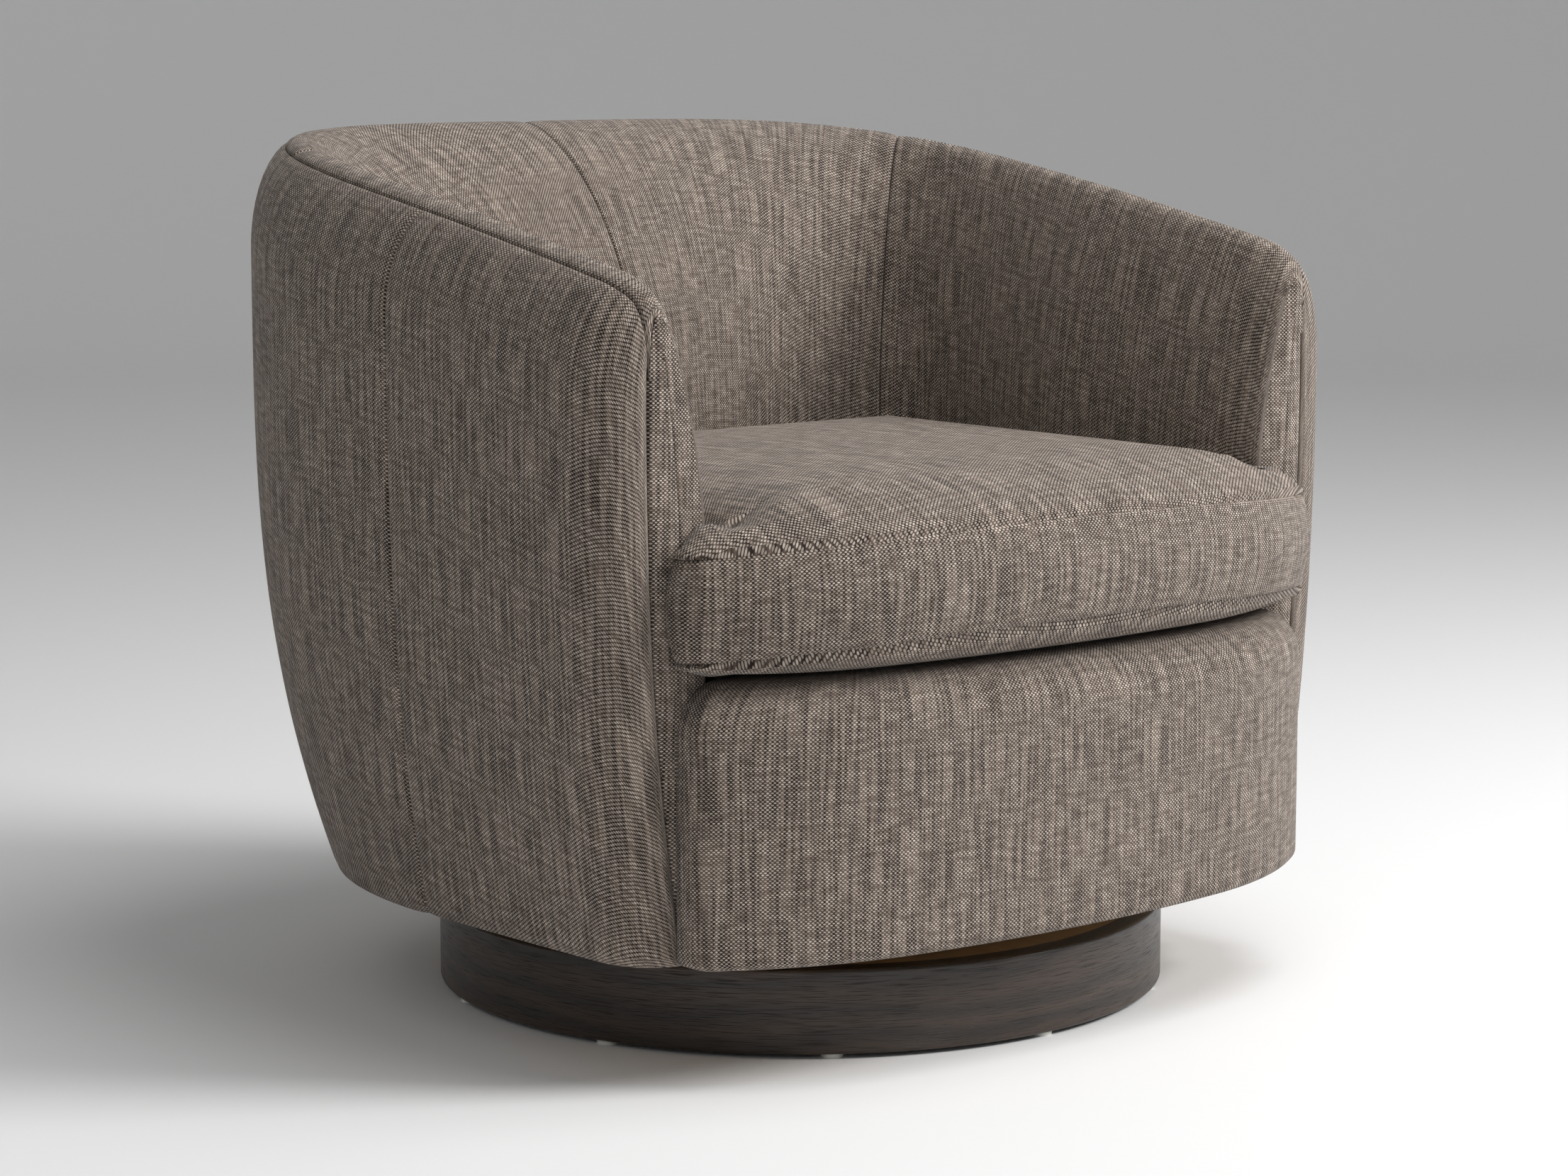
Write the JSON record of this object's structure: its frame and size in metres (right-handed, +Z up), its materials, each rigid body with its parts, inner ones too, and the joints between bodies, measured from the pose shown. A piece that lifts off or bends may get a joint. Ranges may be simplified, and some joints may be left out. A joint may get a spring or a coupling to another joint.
{
  "type": "swivel rocker",
  "caption": "Upholstered barrel armchair with a loose T cushion that swivels and rocks on a low round plinth.",
  "frame": {"origin": "on the floor, on the swivel axis at the centre of the round plinth", "axes": "+Z up, the seat faces -Y, +X towards the right arm as seen from in front of the chair looking at it along +Y"},
  "size_m": [0.8048, 0.778, 0.711],
  "materials": {
    "tweed": "dark brown tweed with oatmeal flecks",
    "plywood": "bare birch plywood and beech",
    "dark_oak": "dark stained oak veneer, satin",
    "pressed_steel": "black powder coat",
    "plated_steel": "zinc plated",
    "nylon": "natural nylon",
    "rubber_buffer": "moulded rubber",
    "jute": "woven jute webbing"
  },
  "bodies": {
    "base": {"plinth_ring": "dark_oak", "plinth_top_board": "plywood", "plinth_glue_blocks": "plywood", "floor_glides": "nylon", "swivel_lower_plate": "pressed_steel", "swivel_plate_screws": "plated_steel", "swivel_bearing_ring": "nylon", "kingpin": "plated_steel", "kingpin_nut": "plated_steel"},
    "turntable": {"swivel_upper_plate": "pressed_steel", "rocker_cradle": "pressed_steel", "cradle_bolts": "plated_steel", "pivot_bushes": "nylon", "rock_stops": "rubber_buffer", "rocker_springs_front": "plated_steel", "rocker_springs_rear": "plated_steel"},
    "seat": {"inside_arm_left": "tweed", "inside_arm_right": "tweed", "inside_back_left": "tweed", "inside_back_right": "tweed", "outside_arm_left": "tweed", "outside_arm_right": "tweed", "outside_back": "tweed", "front_panel": "tweed", "deck_pad": "tweed", "arm_front_rib_left": "plywood", "arm_front_rib_right": "plywood", "arm_middle_rib_left": "plywood", "arm_middle_rib_right": "plywood", "corner_rib_left": "plywood", "corner_rib_right": "plywood", "back_side_rib_left": "plywood", "back_side_rib_right": "plywood", "back_rib_left": "plywood", "back_rib_right": "plywood", "front_board": "plywood", "base_ring": "plywood", "mechanism_rail_left": "plywood", "mechanism_rail_right": "plywood", "belly_rail": "plywood", "top_rail": "plywood", "front_rail": "plywood", "seat_rail_left": "plywood", "seat_rail_right": "plywood", "seat_rail_back": "plywood", "corner_block_left": "plywood", "corner_block_right": "plywood", "webbing_lengthways": "jute", "webbing_crossways": "jute", "pivot_hangers": "pressed_steel"},
    "cushion": {"seat_cushion": "tweed"}
  },
  "joints": [
    {"name": "swivel", "type": "hinge", "parent": "base", "child": "turntable", "pos_m": [0, 0, 0.07], "axis": [0, 0, 1], "continuous": true},
    {"name": "rock", "type": "hinge", "parent": "turntable", "child": "seat", "pos_m": [0, 0, 0.14], "axis": [1, 0, 0], "range_deg": [-5, 5], "stiffness_Nm_per_rad": 500, "springref_deg": 2.01, "deforming": ["rocker_springs_front", "rocker_springs_rear"]},
    {"name": "cushion_lift", "type": "slide", "parent": "seat", "child": "cushion", "axis": [0, 0, 1], "range_m": [0, 0.25]}
  ]
}
